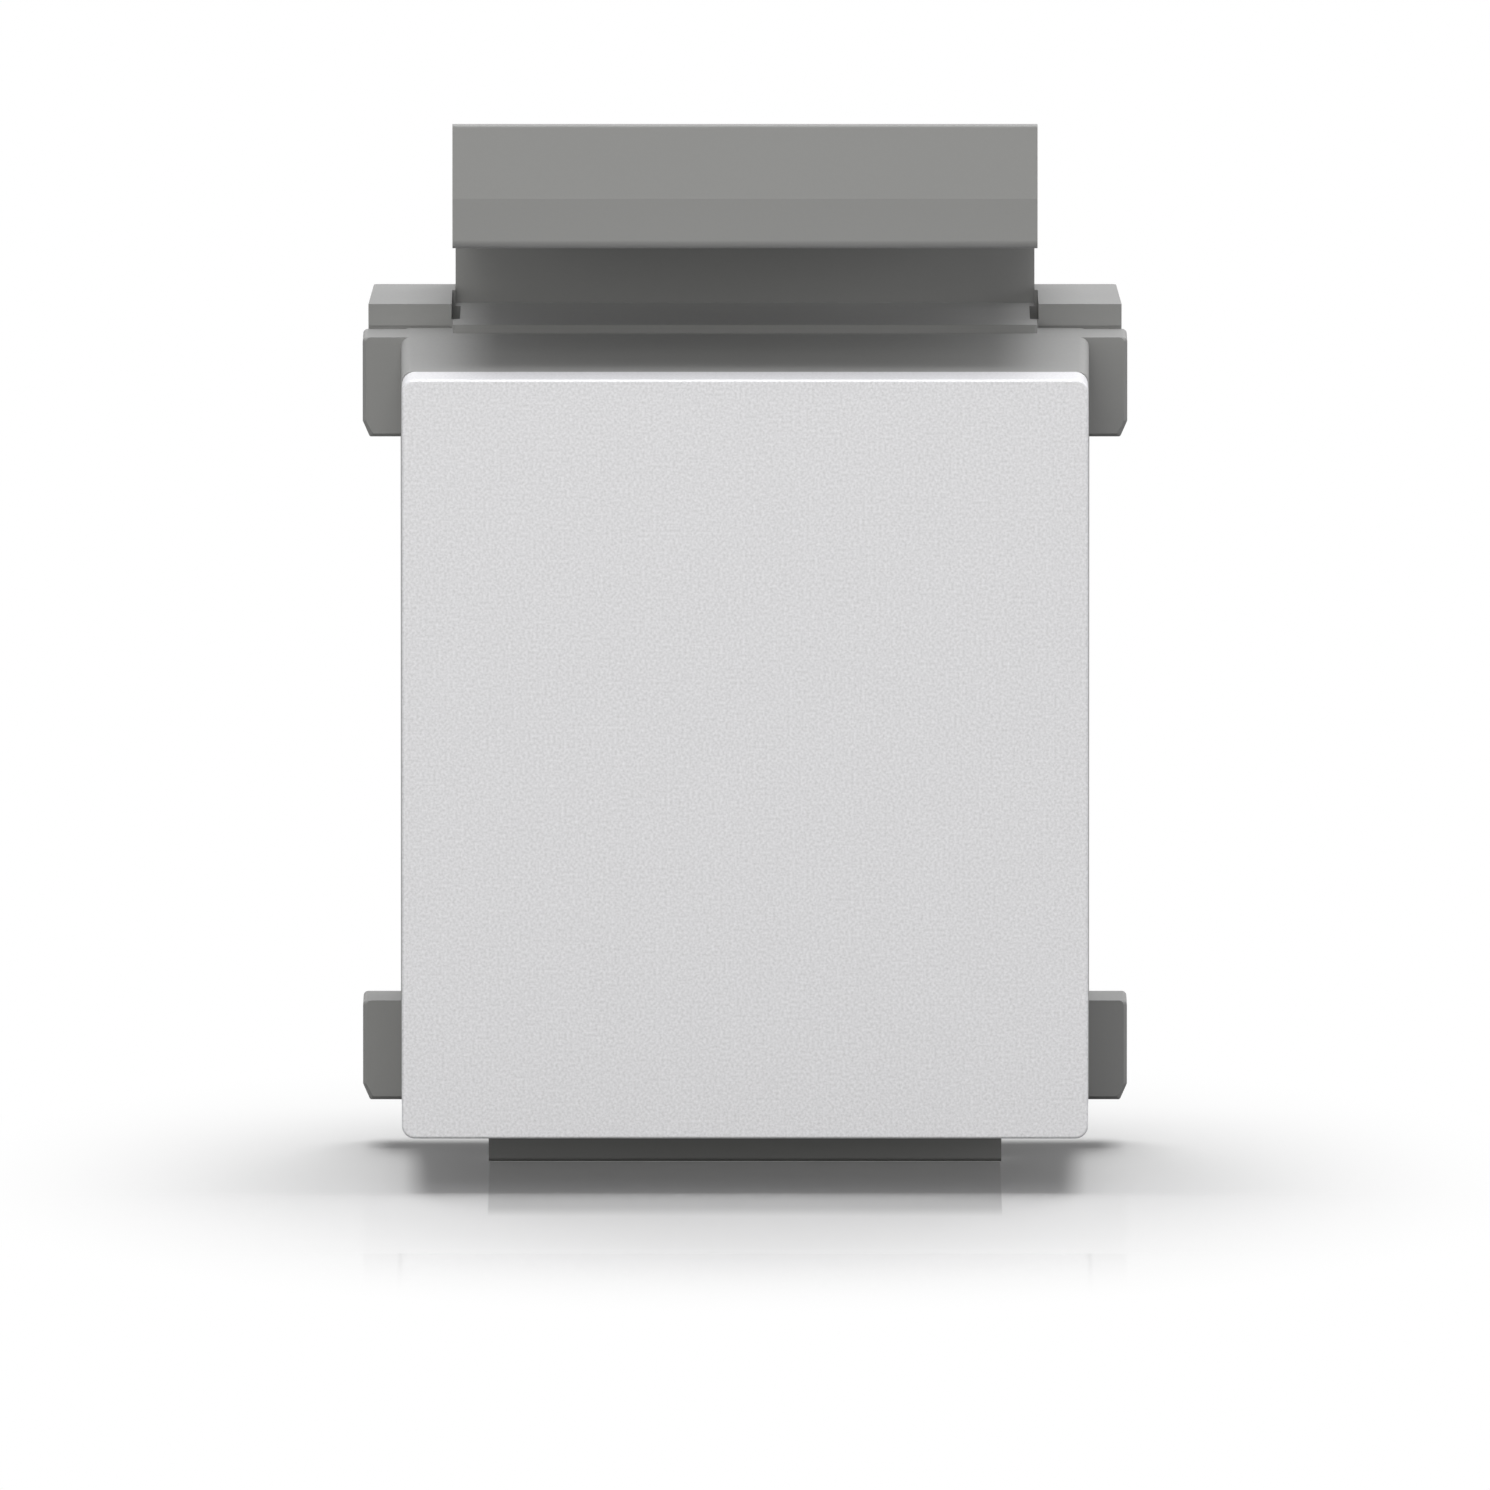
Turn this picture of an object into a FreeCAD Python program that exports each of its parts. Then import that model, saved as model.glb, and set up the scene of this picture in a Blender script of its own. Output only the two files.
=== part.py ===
import FreeCAD, Part
import math
import os

# Keystone blank insert: a silver face plate on a hollow moulded body that snaps
# into a keystone cut-out. Millimetres. X runs to the right, Y runs back from
# the face and Z runs up. The origin is the centre of the plate's front face.

V = FreeCAD.Vector

# Face plate, a shallow cap pushed over the spigot of the body
FACE_WIDTH = 14.5
FACE_HEIGHT = 16.1
FACE_DEPTH = 1.9
FACE_SKIN = 1.0
FACE_RIM = 0.9
FACE_CORNER_RADIUS = 0.27
FACE_EDGE_ROUND = 0.05
CAP_SIDE_CLEARANCE = 0.05
CAP_END_CLEARANCE = 0.05

# Hollow body behind the plate, a little larger towards the rear
BODY_DRAFT_DEG = 0.5
BODY_CORNER_RADIUS = 0.2
BODY_WALL = 1.2
FRONT_WALL = 1.3
HOLLOW_CORNER_RADIUS = 0.4

# Panel that the insert snaps into, and the stops that meet its rear side
PANEL_THICKNESS = 1.55
PANEL_CLEARANCE = 0.05
STOP_FRONT = 9.5
STOP_DEPTH = 2.1
STOP_SPAN = 16.26
STOP_HEIGHT = 2.12
LOWER_STOP_RISE = 2.0
STOP_CHAMFER_WIDTH = 0.15
STOP_CHAMFER_HEIGHT = 0.34
STOP_CORNER_RADIUS = 0.1
STOP_EDGE_CHAMFER = 0.07

# Hook under the body, with a level seat behind it for the panel's lower edge
HOOK_WIDTH = 10.89
HOOK_FRONT = 6.7
HOOK_DROP = 1.16
HOOK_TIP_ROUND = 0.08
SEAT_DEPTH = 0.1
SEAT_LENGTH = 2.2

# Tongue on top of the body, with a slot down each side behind its lip
LIP_FRONT = 10.42
LIP_WIDTH = 12.44
LIP_RISE = 0.18
LIP_CORNER_CHAMFER = 0.06
TONGUE_THICKNESS = 1.1
SLOT_FRONT = 11.88
SLOT_REAR = 15.06
SLOT_WIDTH = 0.18

# Rails behind the upper stops, joined at the rear by a bridge
RAIL_SPAN = 16.04
RAIL_RISE = 0.53
RAIL_TAPER = 0.09
RAIL_CORNER_RADIUS = 0.12
RAIL_FOOT_GROOVE = 0.05

# Spring latch: a neck up from the bridge, an arm forward, a tab and a tooth
LATCH_WIDTH = 12.368
NECK_FRONT = 15.82
NECK_THICKNESS = 0.72
ARM_GAP = 2.6
ARM_ROOT_THICKNESS = 0.8
ARM_TIP_THICKNESS = 1.06
BEND_INNER_RADIUS = 0.5
BEND_OUTER_RADIUS = 1.2
TAB_FRONT = 2.0
TAB_RISE = 1.555
TAB_LEAN_DEG = 6.0
TAB_LAND = 0.3
TAB_BASE = 0.95
TAB_LOWER_ROUND = 0.17
TAB_CREST_ROUND = 0.06
TAB_ROOT_RADIUS = 0.25
TOOTH_RISE = 0.85
TOOTH_RAMP = 2.3
TOOTH_LAND = 0.35
TOOTH_ROUND = 0.06

# Places that follow from the sizes above
PLATE_HALF_WIDTH = FACE_WIDTH / 2
PLATE_HALF_HEIGHT = FACE_HEIGHT / 2
STOP_REAR = STOP_FRONT + STOP_DEPTH
CATCH_PLANE = STOP_FRONT - PANEL_THICKNESS - PANEL_CLEARANCE
DRAFT_SLOPE = math.tan(math.radians(BODY_DRAFT_DEG))
RAIL_REAR = NECK_FRONT + NECK_THICKNESS
POCKET_HALF_WIDTH = PLATE_HALF_WIDTH - FACE_RIM
POCKET_HALF_HEIGHT = PLATE_HALF_HEIGHT - FACE_RIM
SPIGOT_FRONT = FACE_SKIN + CAP_END_CLEARANCE
HOLLOW_FRONT = SPIGOT_FRONT + FRONT_WALL


def body_half_width(y):
    """Half the width of the body's outside at the depth y."""
    return PLATE_HALF_WIDTH + (y - FACE_DEPTH) * DRAFT_SLOPE


def body_half_height(y):
    """Half the height of the body's outside at the depth y."""
    return PLATE_HALF_HEIGHT + (y - FACE_DEPTH) * DRAFT_SLOPE


BODY_TOP = body_half_height(STOP_FRONT)
TONGUE_TOP = body_half_height(LIP_FRONT) + LIP_RISE
TONGUE_HALF_WIDTH = LIP_WIDTH / 2 - LIP_CORNER_CHAMFER - SLOT_WIDTH / 2
RAIL_INNER = TONGUE_HALF_WIDTH + SLOT_WIDTH
RAIL_TOP = BODY_TOP + RAIL_RISE
RAIL_BOTTOM = BODY_TOP - STOP_HEIGHT
ARM_UNDERSIDE = PLATE_HALF_HEIGHT + ARM_GAP


def rounded_wire(corners, place):
    """Closed wire through (u, v, radius) corners, with place(u, v) in space."""
    starts = []
    ends = []
    middles = []
    count = len(corners)
    for index in range(count):
        u, v, radius = corners[index]
        before = corners[index - 1]
        after = corners[(index + 1) % count]
        corner = V(u, v, 0)
        back = (V(before[0], before[1], 0) - corner).normalize()
        ahead = (V(after[0], after[1], 0) - corner).normalize()
        half_angle = back.getAngle(ahead) / 2
        reach = radius / math.tan(half_angle)
        inward = (back + ahead).normalize()
        starts.append(corner + back * reach)
        ends.append(corner + ahead * reach)
        middles.append(corner + inward * (radius / math.sin(half_angle) - radius))
    edges = []
    for index in range(count):
        if corners[index][2] > 0:
            arc = Part.Arc(place(starts[index]), place(middles[index]), place(ends[index]))
            edges.append(arc.toShape())
        line_start = place(ends[index])
        line_end = place(starts[(index + 1) % count])
        edges.append(Part.LineSegment(line_start, line_end).toShape())
    return Part.Wire(edges)


def rectangle_at(y, half_width, half_height, radius):
    """Rounded rectangle centred on the Y axis, at the depth y."""
    corners = [
        (-half_width, -half_height, radius),
        (half_width, -half_height, radius),
        (half_width, half_height, radius),
        (-half_width, half_height, radius),
    ]
    return rounded_wire(corners, lambda p: V(p.x, y, p.y))


def prism_between(front, rear):
    """Solid between two like outlines at different depths."""
    return Part.makeLoft([front, rear], True, True)


def box_between(x_range, y_range, z_range):
    """Box between the two ends of each range."""
    size = [high - low for low, high in (x_range, y_range, z_range)]
    return Part.makeBox(*size, V(x_range[0], y_range[0], z_range[0]))


def both_sides(right):
    """The right-hand piece with its mirror image."""
    return [right, right.mirror(V(0, 0, 0), V(1, 0, 0))]


def make_face_plate():
    """Silver cap: a front skin with a rim round its rear."""
    front = rectangle_at(0, PLATE_HALF_WIDTH, PLATE_HALF_HEIGHT, FACE_CORNER_RADIUS)
    plate = Part.Face(front).extrude(V(0, FACE_DEPTH, 0))
    front_edges = [edge for edge in plate.Edges if edge.BoundBox.YMax < FACE_EDGE_ROUND / 10]
    plate = plate.makeFillet(FACE_EDGE_ROUND, front_edges)
    pocket = rectangle_at(FACE_SKIN, POCKET_HALF_WIDTH, POCKET_HALF_HEIGHT, FACE_CORNER_RADIUS)
    return plate.cut(Part.Face(pocket).extrude(V(0, FACE_DEPTH, 0)))


def make_shell():
    """Hollow body, open at the rear, with the spigot that enters the cap."""
    outside = prism_between(
        rectangle_at(FACE_DEPTH, PLATE_HALF_WIDTH, PLATE_HALF_HEIGHT, BODY_CORNER_RADIUS),
        rectangle_at(STOP_REAR, body_half_width(STOP_REAR), body_half_height(STOP_REAR),
                     BODY_CORNER_RADIUS),
    )
    spigot_half_width = POCKET_HALF_WIDTH - CAP_SIDE_CLEARANCE
    spigot_half_height = POCKET_HALF_HEIGHT - CAP_SIDE_CLEARANCE
    spigot_radius = FACE_CORNER_RADIUS + CAP_SIDE_CLEARANCE
    spigot = rectangle_at(SPIGOT_FRONT, spigot_half_width, spigot_half_height, spigot_radius)
    spigot_solid = Part.Face(spigot).extrude(V(0, FACE_DEPTH + FRONT_WALL - SPIGOT_FRONT, 0))
    hollow_rear = STOP_REAR + BODY_WALL
    hollow = prism_between(
        rectangle_at(HOLLOW_FRONT, body_half_width(HOLLOW_FRONT) - BODY_WALL,
                     body_half_height(HOLLOW_FRONT) - BODY_WALL, HOLLOW_CORNER_RADIUS),
        rectangle_at(hollow_rear, body_half_width(hollow_rear) - BODY_WALL,
                     body_half_height(hollow_rear) - BODY_WALL, HOLLOW_CORNER_RADIUS),
    )
    return outside.fuse(spigot_solid).cut(hollow)


def stop_outline(y, top, inset):
    """Outline of the right-hand stop at the depth y, drawn in by inset except on top."""
    inner = body_half_width(STOP_FRONT) - BODY_WALL / 2
    outer = STOP_SPAN / 2
    bottom = top - STOP_HEIGHT
    corners = [
        (inner, bottom + inset, 0),
        (outer - STOP_CHAMFER_WIDTH - inset, bottom + inset, STOP_CORNER_RADIUS / 2),
        (outer - inset, bottom + STOP_CHAMFER_HEIGHT, 0),
        (outer - inset, top, STOP_CORNER_RADIUS),
        (inner, top, 0),
    ]
    return rounded_wire(corners, lambda p: V(p.x, y, p.y))


def make_stop(top):
    """Right-hand panel stop whose top face lies at the height top."""
    front = stop_outline(STOP_FRONT, top, STOP_EDGE_CHAMFER)
    full = stop_outline(STOP_FRONT + STOP_EDGE_CHAMFER, top, 0)
    block = Part.Face(full).extrude(V(0, STOP_DEPTH - STOP_EDGE_CHAMFER, 0))
    return prism_between(front, full).fuse(block)


def make_hook():
    """Lip under the body that goes in front of the panel's lower edge."""
    tip = -PLATE_HALF_HEIGHT - HOOK_DROP
    root = -PLATE_HALF_HEIGHT + BODY_WALL / 2
    corners = [
        (HOOK_FRONT, tip, HOOK_TIP_ROUND),
        (CATCH_PLANE, tip, HOOK_TIP_ROUND),
        (CATCH_PLANE, root, 0),
        (HOOK_FRONT, root, 0),
    ]
    outline = rounded_wire(corners, lambda p: V(-HOOK_WIDTH / 2, p.x, p.y))
    return Part.Face(outline).extrude(V(HOOK_WIDTH, 0, 0))


def panel_seat_cut():
    """Space of the level seat behind the hook, cut into the drafted underside."""
    ceiling = SEAT_DEPTH - body_half_height(CATCH_PLANE)
    return box_between((-HOOK_WIDTH / 2, HOOK_WIDTH / 2),
                       (CATCH_PLANE, CATCH_PLANE + SEAT_LENGTH),
                       (ceiling - BODY_WALL, ceiling))


def make_tongue():
    """Raised tongue from its lip on the body back to the neck of the latch."""
    half_lip = LIP_WIDTH / 2
    corners = [
        (-RAIL_INNER, SLOT_FRONT, 0),
        (-RAIL_INNER, STOP_REAR, 0),
        (-half_lip, STOP_REAR, 0),
        (-half_lip, LIP_FRONT, LIP_CORNER_CHAMFER),
        (half_lip, LIP_FRONT, LIP_CORNER_CHAMFER),
        (half_lip, STOP_REAR, 0),
        (RAIL_INNER, STOP_REAR, 0),
        (RAIL_INNER, SLOT_FRONT, 0),
        (TONGUE_HALF_WIDTH, SLOT_FRONT, 0),
        (TONGUE_HALF_WIDTH, RAIL_REAR, 0),
        (-TONGUE_HALF_WIDTH, RAIL_REAR, 0),
        (-TONGUE_HALF_WIDTH, SLOT_FRONT, 0),
    ]
    underside = TONGUE_TOP - TONGUE_THICKNESS
    outline = rounded_wire(corners, lambda p: V(p.x, p.y, underside))
    return Part.Face(outline).extrude(V(0, 0, TONGUE_THICKNESS))


def make_rail():
    """Right-hand rail from the upper stop back to the bridge, grooved along its foot."""
    outer = RAIL_SPAN / 2
    inner = RAIL_INNER
    bridge_end = LATCH_WIDTH / 2
    corners = [
        (inner, STOP_REAR, 0),
        (outer, STOP_REAR, 0),
        (outer - RAIL_TAPER, RAIL_REAR, RAIL_CORNER_RADIUS),
        (bridge_end, RAIL_REAR, 0),
        (bridge_end, SLOT_REAR, 0),
        (inner, SLOT_REAR, 0),
    ]
    outline = rounded_wire(corners, lambda p: V(p.x, p.y, RAIL_BOTTOM))
    rail = Part.Face(outline).extrude(V(0, 0, RAIL_TOP - RAIL_BOTTOM))
    groove_top = body_half_height(STOP_REAR) + RAIL_FOOT_GROOVE
    groove = box_between((inner, outer), (STOP_REAR, STOP_REAR + RAIL_FOOT_GROOVE),
                         (BODY_TOP - RAIL_FOOT_GROOVE, groove_top))
    return rail.cut(groove)


def make_bridge():
    """Cross member between the rear ends of the rails, under the neck."""
    reach = RAIL_INNER
    return box_between((-reach, reach), (SLOT_REAR, RAIL_REAR), (RAIL_BOTTOM, TONGUE_TOP))


def make_latch():
    """Neck, arm, finger tab and catch tooth, drawn from the side."""
    arm_tip_top = ARM_UNDERSIDE + ARM_TIP_THICKNESS
    arm_root_top = ARM_UNDERSIDE + ARM_ROOT_THICKNESS
    tab_rear = TAB_FRONT + TAB_BASE
    crest_front = TAB_FRONT + TAB_RISE * math.tan(math.radians(TAB_LEAN_DEG))
    crest = arm_tip_top + TAB_RISE
    arm_fall = (arm_tip_top - arm_root_top) / (RAIL_REAR - tab_rear)
    ramp_front = CATCH_PLANE - TOOTH_RAMP
    ramp_foot = arm_tip_top - (ramp_front - tab_rear) * arm_fall
    catch_foot = arm_tip_top - (CATCH_PLANE - tab_rear) * arm_fall
    tooth_top = catch_foot + TOOTH_RISE
    corners = [
        (NECK_FRONT, TONGUE_TOP, 0),
        (NECK_FRONT, ARM_UNDERSIDE, BEND_INNER_RADIUS),
        (TAB_FRONT, ARM_UNDERSIDE, TAB_LOWER_ROUND),
        (TAB_FRONT, arm_tip_top, 0),
        (crest_front, crest, TAB_CREST_ROUND),
        (crest_front + TAB_LAND, crest, TAB_CREST_ROUND),
        (tab_rear, arm_tip_top, TAB_ROOT_RADIUS),
        (ramp_front, ramp_foot, TAB_ROOT_RADIUS),
        (CATCH_PLANE - TOOTH_LAND, tooth_top, TOOTH_ROUND),
        (CATCH_PLANE, tooth_top, TOOTH_ROUND),
        (CATCH_PLANE, catch_foot, TOOTH_ROUND),
        (RAIL_REAR, arm_root_top, BEND_OUTER_RADIUS),
        (RAIL_REAR, TONGUE_TOP, 0),
    ]
    outline = rounded_wire(corners, lambda p: V(-LATCH_WIDTH / 2, p.x, p.y))
    return Part.Face(outline).extrude(V(LATCH_WIDTH, 0, 0))


def make_insert_body():
    """The one moulding: shell, stops, hook, tongue, rails, bridge and latch."""
    lower_stop_top = -PLATE_HALF_HEIGHT + LOWER_STOP_RISE
    pieces = []
    for stop_top in (BODY_TOP, lower_stop_top):
        pieces += both_sides(make_stop(stop_top))
    pieces.append(make_hook())
    pieces.append(make_tongue())
    pieces += both_sides(make_rail())
    pieces.append(make_bridge())
    pieces.append(make_latch())
    return make_shell().cut(panel_seat_cut()).fuse(pieces).removeSplitter()


def save(shape, node):
    """Write one sub-part as one solid and report its size."""
    solid = shape.Solids[0]
    solid.exportStep("parts/" + node + ".step")
    box = solid.BoundBox
    print(node, len(shape.Solids), "solid", round(solid.Volume, 2), "mm3", solid.isValid())
    print("  x", round(box.XMin, 3), round(box.XMax, 3), "y", round(box.YMin, 3),
          round(box.YMax, 3), "z", round(box.ZMin, 3), round(box.ZMax, 3))


os.makedirs("parts", exist_ok=True)
save(make_face_plate(), "face_plate")
save(make_insert_body(), "insert_body")
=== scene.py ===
import math

import bpy
from mathutils import Matrix, Vector


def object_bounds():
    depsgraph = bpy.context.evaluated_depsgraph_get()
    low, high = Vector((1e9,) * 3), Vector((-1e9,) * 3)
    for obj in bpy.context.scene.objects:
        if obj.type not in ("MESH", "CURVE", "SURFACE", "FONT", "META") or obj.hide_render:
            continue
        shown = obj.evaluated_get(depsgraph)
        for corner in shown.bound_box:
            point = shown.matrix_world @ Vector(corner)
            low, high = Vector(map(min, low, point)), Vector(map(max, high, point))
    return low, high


# Keystone blank insert: a silver cap on a moulded grey body, on a white table.
# Metres, in the frame of the CAD part: X to the right, Y back, Z up, and the
# origin at the centre of the cap's front face.

MM = 0.001
WHITE = (1, 1, 1, 1)

# Camera, a long lens a little above the cap's centre
IMAGE_SIDE = 1490
CAMERA_DISTANCE = 1.28
CAMERA_ELEVATION = 5.4
CAMERA_CLIP = (0.1, 10.0)
SENSOR_WIDTH = 36.0
PIXELS_PER_MM = 47.35
ORIGIN_BELOW_CENTRE = 14.47

# Lamps. A level is what a lamp gives a surface that faces it, where 1 shows a
# colour as it is written.
LAMP_DISTANCE = 0.6
KEY_DISTANCE = 0.22
KEY_COLOUR = (1.0, 1.0, 0.94)
AMBIENT_LEVEL = 0.19
KEY_LEVEL = 0.25
LOW_LEVEL = 0.14
OVERHEAD_LEVEL = 0.97
FILL_LEVEL = 0.29
LEFT_SIDE_LEVEL = 0.08
RIGHT_SIDE_LEVEL = 0.24
REAR_LEVEL = 0.12
TABLE_OVERHEAD_LEVEL = 0.98
TABLE_FILL_LEVEL = 0.155

# Silver paint. Sizes of grain are in grains to the millimetre, here and below.
SILVER = (0.672, 0.669, 0.698)
SILVER_ROUGHNESS = 0.46
SILVER_METALLIC = 0.15
SILVER_BUMP = 0.10
SILVER_BUMP_HEIGHT = 0.004 * MM
FLAKES_PER_MM = 17.0
FLAKES_IN_COLOUR = 0.70
FLAKES_IN_ROUGHNESS = 0.20
CLOUDS_PER_MM = 0.9
CLOUDS_IN_COLOUR = 0.03
SILVER_BUMPS_PER_MM = 9.0

# Grey plastic
GREY = (0.230, 0.230, 0.229)
GREY_ROUGHNESS = 0.56
GREY_BUMP = 0.25
GREY_BUMP_HEIGHT = 0.006 * MM
SKIN_PER_MM = 14.0
SKIN_IN_COLOUR = 0.06
SKIN_IN_ROUGHNESS = 0.20
FLOW_PER_MM = 0.7
FLOW_IN_COLOUR = 0.04
FLOW_IN_ROUGHNESS = 0.08
GREY_BUMPS_PER_MM = 12.0

GRAIN_ROUGHNESS = 0.6

# Table. Each pair below is where a change over it starts and where it is complete,
# in millimetres behind the cap's face, or beside its middle for the sides.
TABLE_SIZE = 4.0
TABLE_WHITE = 0.94
TABLE_BOUNCE = 0.20
TABLE_GLOSS = 0.26
TABLE_GLOSS_ROUGHNESS = 0.04
HOOK_GLOSS_FRONT = (-5.4, -2.6)
HOOK_GLOSS_REAR = (6.5, 6.7)
HOOK_GLOSS_SIDE = (5.40, 5.44)
# Painted contact shade: the mirror share grows towards the hook's contact, so the table
# reflects more of the dark hook front there
HOOK_GLOSS_SHADE_RISE = (2.0, 6.7)
HOOK_GLOSS_SHADE_GAIN = 0.7
FACE_GLOSS_FRONT = (-25.0, -11.0)
FACE_GLOSS_REAR = (-12.7, -12.1)
FACE_GLOSS_SIDE = (7.2, 7.3)
FACE_GLOSS_SIDE_LOSS = 0.65
MIDDLE_GLOSS_REAR = (-0.3, 0.0)
MIDDLE_GLOSS = 0.12

# The table turns to plain white outside an ellipse, in millimetres and in shares of it
WHITE_CENTRE = (0, 3, 0)
WHITE_REACH_ACROSS = 17
WHITE_REACH_ALONG = 27
WHITE_EDGE = (0.5, 1.05)


class Value:
    """One socket of a node tree, so that shader maths is written as Python expressions."""

    def __init__(self, tree, socket=None):
        self.tree = tree
        self.socket = socket

    def node(self, kind, settings=None, inputs=None, output=0):
        """Adds a node: first its settings, then the values or links of its sockets."""
        made = self.tree.nodes.new(kind)
        for name, setting in (settings or {}).items():
            setattr(made, name, setting)
        for name, value in (inputs or {}).items():
            if isinstance(value, Value):
                self.tree.links.new(value.socket, made.inputs[name])
            else:
                made.inputs[name].default_value = value
        return Value(self.tree, made.outputs[output]) if made.outputs else None

    def maths(self, operation, *values):
        sockets = dict(enumerate((self, *values)))
        return self.node("ShaderNodeMath", {"operation": operation}, sockets)

    def __add__(self, other):
        return self.maths("ADD", other)

    def __radd__(self, other):
        return self.maths("ADD", other)

    def __sub__(self, other):
        return self.maths("SUBTRACT", other)

    def __rsub__(self, other):
        return self.maths("MULTIPLY_ADD", -1, other)

    def __mul__(self, other):
        return self.maths("MULTIPLY", other)

    def __rmul__(self, other):
        return self.maths("MULTIPLY", other)


def new_material(name):
    """An empty material and a Value to build its nodes with."""
    material = bpy.data.materials.new(name)
    material.use_nodes = True
    material.node_tree.nodes.clear()
    return material, Value(material.node_tree)


def millimetres(start):
    """Object coordinates in millimetres."""
    place = start.node("ShaderNodeTexCoord", None, None, "Object")
    return start.node("ShaderNodeVectorMath", {"operation": "SCALE"},
                      {0: place, "Scale": 1 / MM})


def grain(start, place, per_mm, detail):
    """Noise from 0 to 1 with this many grains to the millimetre."""
    return start.node("ShaderNodeTexNoise", {"noise_dimensions": "3D"}, {
        "Vector": place, "Scale": per_mm, "Detail": detail, "Roughness": GRAIN_ROUGHNESS})


def tinted(start, colour, amount):
    """A colour made lighter or darker by an amount round 0."""
    level = start.node("ShaderNodeCombineXYZ", None,
                       {"X": 1 + amount, "Y": 1 + amount, "Z": 1 + amount})
    return start.node("ShaderNodeVectorMath", {"operation": "MULTIPLY"}, {0: level, 1: colour})


def silver_paint():
    """Satin silver paint with fine flakes."""
    material, start = new_material("face_silver")
    place = millimetres(start)
    flakes = grain(start, place, FLAKES_PER_MM, 2.0) - 0.5
    clouds = grain(start, place, CLOUDS_PER_MM, 2.0) - 0.5
    height = grain(start, place, SILVER_BUMPS_PER_MM, 1.0)
    bump = start.node("ShaderNodeBump", None, {
        "Height": height, "Strength": SILVER_BUMP, "Distance": SILVER_BUMP_HEIGHT})
    change = flakes * FLAKES_IN_COLOUR + clouds * CLOUDS_IN_COLOUR
    paint = start.node("ShaderNodeBsdfPrincipled", None, {
        "Base Color": tinted(start, SILVER, change),
        "Roughness": SILVER_ROUGHNESS + flakes * FLAKES_IN_ROUGHNESS,
        "Metallic": SILVER_METALLIC,
        "Normal": bump,
    })
    start.node("ShaderNodeOutputMaterial", None, {"Surface": paint})
    return material


def grey_plastic():
    """Moulded grey plastic with the fine skin of a spark-eroded mould."""
    material, start = new_material("body_grey")
    place = millimetres(start)
    skin = grain(start, place, SKIN_PER_MM, 3.0) - 0.5
    flow = grain(start, place, FLOW_PER_MM, 2.0) - 0.5
    height = grain(start, place, GREY_BUMPS_PER_MM, 2.0)
    bump = start.node("ShaderNodeBump", None, {
        "Height": height, "Strength": GREY_BUMP, "Distance": GREY_BUMP_HEIGHT})
    change = skin * SKIN_IN_COLOUR + flow * FLOW_IN_COLOUR
    plastic = start.node("ShaderNodeBsdfPrincipled", None, {
        "Base Color": tinted(start, GREY, change),
        "Roughness": GREY_ROUGHNESS + skin * SKIN_IN_ROUGHNESS + flow * FLOW_IN_ROUGHNESS,
        "Normal": bump,
    })
    start.node("ShaderNodeOutputMaterial", None, {"Surface": plastic})
    return material


def dress(node, material):
    """Puts one material on a CAD node."""
    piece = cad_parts[node]
    piece.data.materials.clear()
    piece.data.materials.append(material)


def seen(start):
    """1 for rays that show a thing to the camera, straight or in a reflection, and else 0."""
    rays = [start.node("ShaderNodeLightPath", None, None, name)
            for name in ("Is Camera Ray", "Is Glossy Ray", "Is Transmission Ray")]
    return rays[0] + rays[1] + rays[2]


def fade(start, value, low, high):
    """Rises smoothly from 0 at one value to 1 at the other."""
    return start.node("ShaderNodeMapRange", {"interpolation_type": "SMOOTHSTEP"},
                      {"Value": value, "From Min": low, "From Max": high})


def table_gloss(start, place):
    """How much of the table mirrors for the camera, painted by place: a real glossy reflection
    shown only in front of the face and of the hook, and near the hook a painted contact shade.
    """
    across = start.node("ShaderNodeSeparateXYZ", None, {0: place}, "X").maths("ABSOLUTE")
    along = start.node("ShaderNodeSeparateXYZ", None, {0: place}, "Y")
    camera = start.node("ShaderNodeLightPath", None, None, "Is Camera Ray")
    beyond_face = 1 - fade(start, along, *FACE_GLOSS_REAR)
    # The last factor raises the mirror towards the hook's contact, a painted contact shade
    hook = (fade(start, along, *HOOK_GLOSS_FRONT)
            * (1 - fade(start, along, *HOOK_GLOSS_REAR))
            * (1 - fade(start, across, *HOOK_GLOSS_SIDE))
            * (1 + HOOK_GLOSS_SHADE_GAIN * fade(start, along, *HOOK_GLOSS_SHADE_RISE)))
    middle = (fade(start, along, *FACE_GLOSS_REAR)
              * (1 - fade(start, along, *MIDDLE_GLOSS_REAR)) * MIDDLE_GLOSS)
    face = (fade(start, along, *FACE_GLOSS_FRONT) * beyond_face
            * (1 - FACE_GLOSS_SIDE_LOSS * fade(start, across, *FACE_GLOSS_SIDE)))
    return camera * hook.maths("MAXIMUM", middle).maths("MAXIMUM", face) * TABLE_GLOSS


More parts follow.
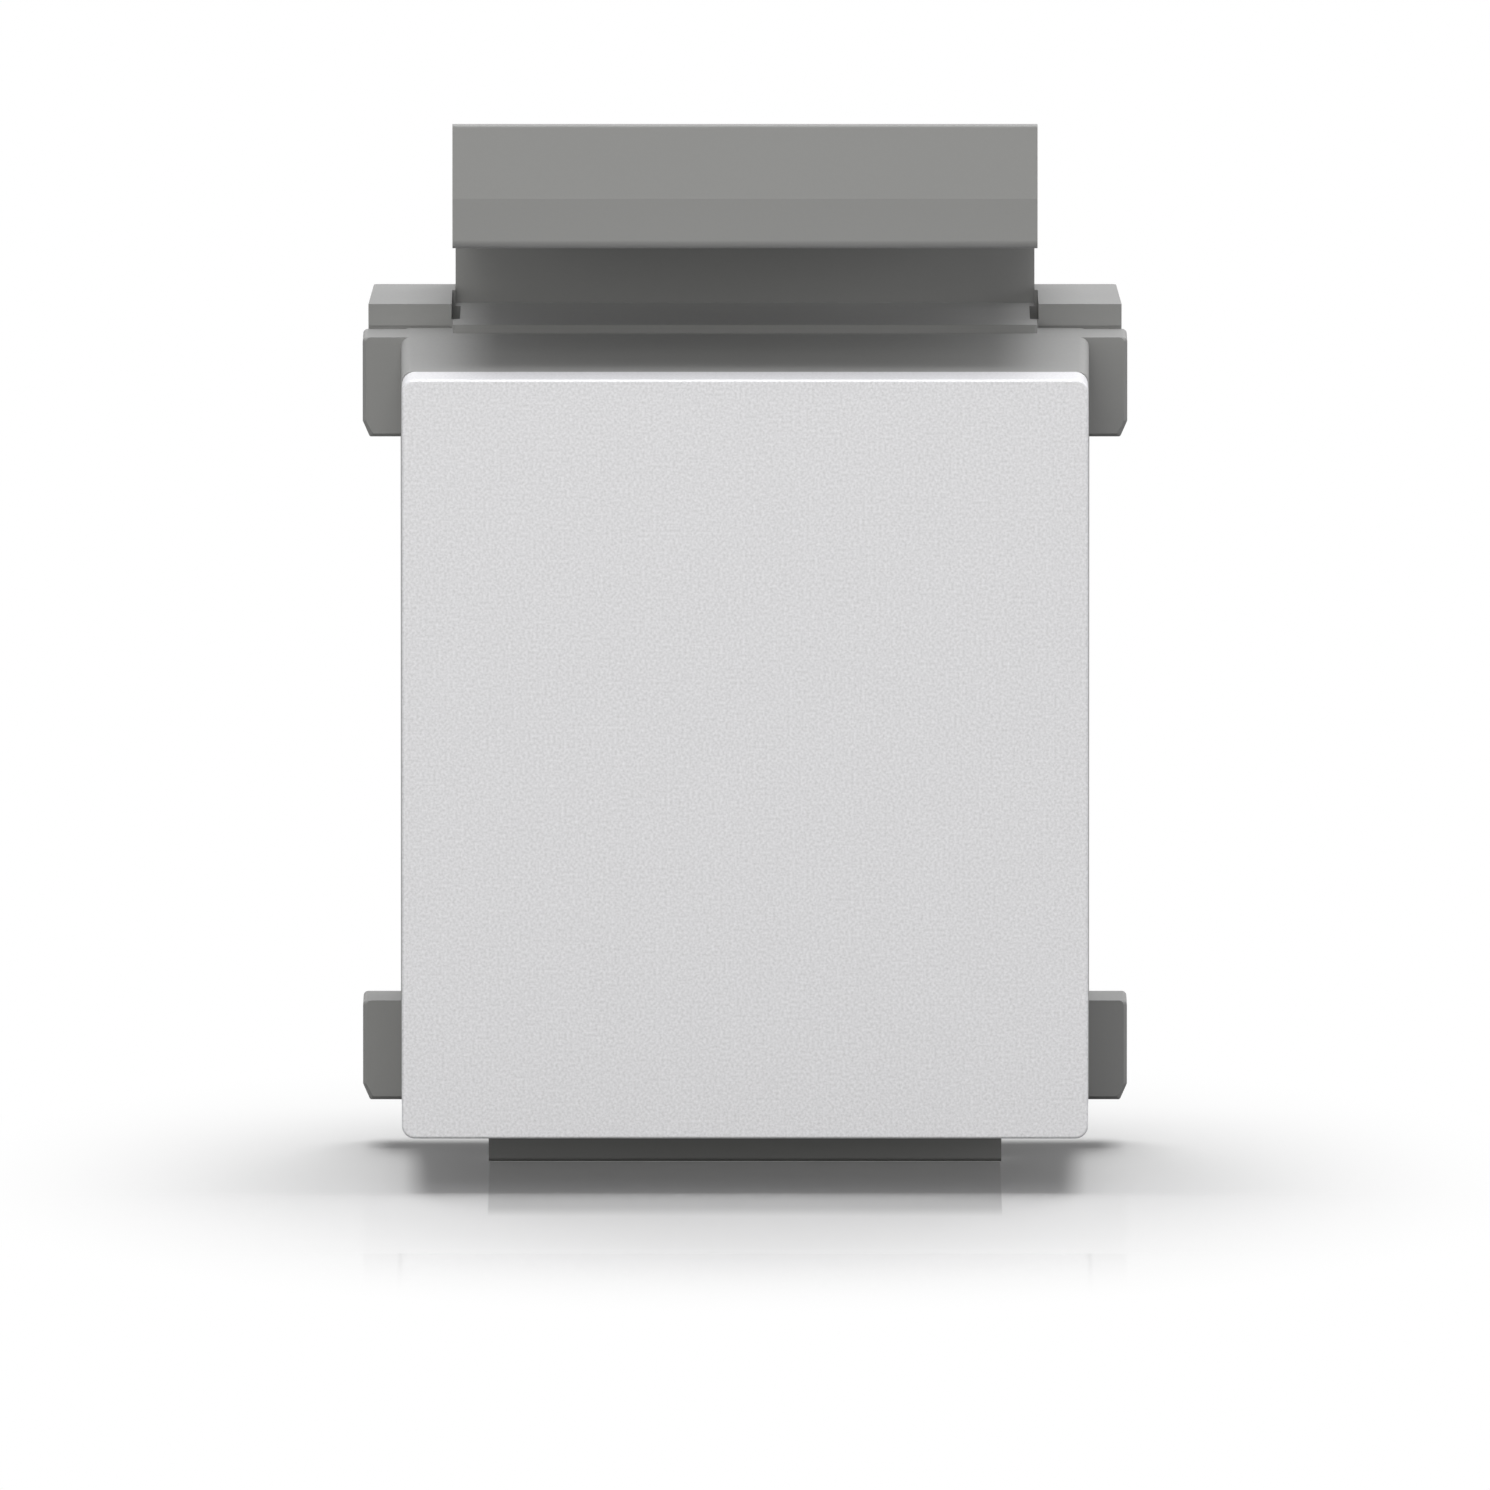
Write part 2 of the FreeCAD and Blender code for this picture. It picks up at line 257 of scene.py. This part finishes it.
def table_material():
    """White table with a faint gloss near the part, that lights the part only dimly."""
    material, start = new_material("table_white")
    place = millimetres(start)
    level = TABLE_BOUNCE + seen(start) * (TABLE_WHITE - TABLE_BOUNCE)
    colour = start.node("ShaderNodeCombineXYZ", None, {"X": level, "Y": level, "Z": level})
    matt = start.node("ShaderNodeBsdfDiffuse", None, {"Color": colour})
    gloss = start.node("ShaderNodeBsdfGlossy", None,
                       {"Color": WHITE, "Roughness": TABLE_GLOSS_ROUGHNESS})
    near = start.node("ShaderNodeMixShader", None,
                      {"Fac": table_gloss(start, place), 1: matt, 2: gloss})
    centred = start.node("ShaderNodeVectorMath", {"operation": "SUBTRACT"},
                         {0: place, 1: WHITE_CENTRE})
    scaled = start.node("ShaderNodeVectorMath", {"operation": "MULTIPLY"},
                        {0: centred, 1: (1 / WHITE_REACH_ACROSS, 1 / WHITE_REACH_ALONG, 0)})
    distance = start.node("ShaderNodeVectorMath", {"operation": "LENGTH"},
                          {0: scaled}, "Value")
    white = start.node("ShaderNodeEmission", None, {"Color": WHITE, "Strength": 1.0})
    far = fade(start, distance, *WHITE_EDGE) * seen(start)
    shader = start.node("ShaderNodeMixShader", None, {"Fac": far, 1: near, 2: white})
    start.node("ShaderNodeOutputMaterial", None, {"Surface": shader})
    return material


def make_table(low):
    """Large flat table under the part."""
    bpy.ops.mesh.primitive_plane_add(size=TABLE_SIZE)
    table = bpy.context.object
    table.name = "table"
    table.data.transform(Matrix.Translation((0, 0, low.z)))
    table.data.materials.append(table_material())


def make_world():
    """Even studio light, and white where the camera or a reflection sees it."""
    world = bpy.data.worlds.new("studio")
    bpy.context.scene.world = world
    world.use_nodes = True
    world.node_tree.nodes.clear()
    start = Value(world.node_tree)
    strength = AMBIENT_LEVEL + seen(start) * (1 - AMBIENT_LEVEL)
    sky = start.node("ShaderNodeBackground", None, {"Color": WHITE, "Strength": strength})
    start.node("ShaderNodeOutputWorld", None, {"Surface": sky})


def lit_group(name, things):
    """A collection of the only things that a lamp lights."""
    group = bpy.data.collections.new(name)
    for thing in things:
        group.objects.link(thing)
    return group


def softbox(name, azimuth, elevation, width, height, level, receivers, shadow=True,
            distance=LAMP_DISTANCE, colour=(1.0, 1.0, 1.0)):
    """Area lamp that faces the part. Azimuth 0 is in front, and positive to the right.

    Its width and height are shares of its distance.
    """
    turn = math.radians(azimuth)
    rise = math.radians(elevation)
    out = Vector((math.sin(turn) * math.cos(rise), -math.cos(turn) * math.cos(rise),
                  math.sin(rise)))
    lamp = bpy.data.lights.new(name, "AREA")
    lamp.shape = "RECTANGLE"
    lamp.size = width * distance
    lamp.size_y = height * distance
    lamp.color = colour
    lamp.energy = level * math.pi ** 2 * distance ** 2
    lamp.use_shadow = shadow
    holder = bpy.data.objects.new(name, lamp)
    holder.location = LIT_POINT + out * distance
    holder.rotation_euler = (-out).to_track_quat("-Z", "Y").to_euler()
    holder.light_linking.receiver_collection = receivers
    bpy.context.scene.collection.objects.link(holder)


def make_lamps():
    """One set of lamps for the part, and one for the table and the shadow on it."""
    part = lit_group("part_only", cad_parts.values())
    table = lit_group("table_only", [bpy.data.objects["table"]])
    softbox("key", -5, 25, 0.33, 0.33, KEY_LEVEL, part,
            distance=KEY_DISTANCE, colour=KEY_COLOUR)
    softbox("left_side", -72, 18, 0.4, 0.4, LEFT_SIDE_LEVEL, part)
    softbox("right_side", 72, 18, 0.4, 0.4, RIGHT_SIDE_LEVEL, part)
    softbox("rear", 135, 40, 0.5, 0.5, REAR_LEVEL, part)
    softbox("low", -8, 6, 0.4, 0.2, LOW_LEVEL, part, colour=KEY_COLOUR)
    softbox("overhead", 0, 89, 0.75, 1.1, OVERHEAD_LEVEL, part)
    softbox("fill", 0, 71, 0.5, 0.5, FILL_LEVEL, part, shadow=False)
    softbox("table_overhead", 180, 67, 0.85, 1.1, TABLE_OVERHEAD_LEVEL, table)
    softbox("table_fill", 0, 90, 0.5, 0.5, TABLE_FILL_LEVEL, table, shadow=False)


def make_camera():
    """Long lens that shows the cap at the photograph's size and place."""
    rise = math.radians(CAMERA_ELEVATION)
    camera = bpy.data.cameras.new("camera")
    camera.sensor_width = SENSOR_WIDTH
    camera.lens = PIXELS_PER_MM / MM * CAMERA_DISTANCE * SENSOR_WIDTH / IMAGE_SIDE
    camera.shift_y = ORIGIN_BELOW_CENTRE / IMAGE_SIDE
    camera.clip_start, camera.clip_end = CAMERA_CLIP
    holder = bpy.data.objects.new("camera", camera)
    holder.location = (0, -CAMERA_DISTANCE * math.cos(rise), CAMERA_DISTANCE * math.sin(rise))
    holder.rotation_euler = (math.pi / 2 - rise, 0, 0)
    bpy.context.scene.collection.objects.link(holder)
    bpy.context.scene.camera = holder


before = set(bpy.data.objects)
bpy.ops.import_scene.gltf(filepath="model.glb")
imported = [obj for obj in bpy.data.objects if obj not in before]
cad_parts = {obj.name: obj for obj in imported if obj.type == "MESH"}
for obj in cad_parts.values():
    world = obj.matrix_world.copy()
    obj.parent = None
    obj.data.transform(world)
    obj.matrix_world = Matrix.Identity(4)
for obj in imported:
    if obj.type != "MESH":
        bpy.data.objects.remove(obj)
cad_low, cad_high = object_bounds()
LIT_POINT = (cad_low + cad_high) / 2

dress("face_plate", silver_paint())
dress("insert_body", grey_plastic())
make_table(cad_low)
make_world()
make_lamps()
make_camera()
bpy.context.scene.view_settings.view_transform = "Standard"
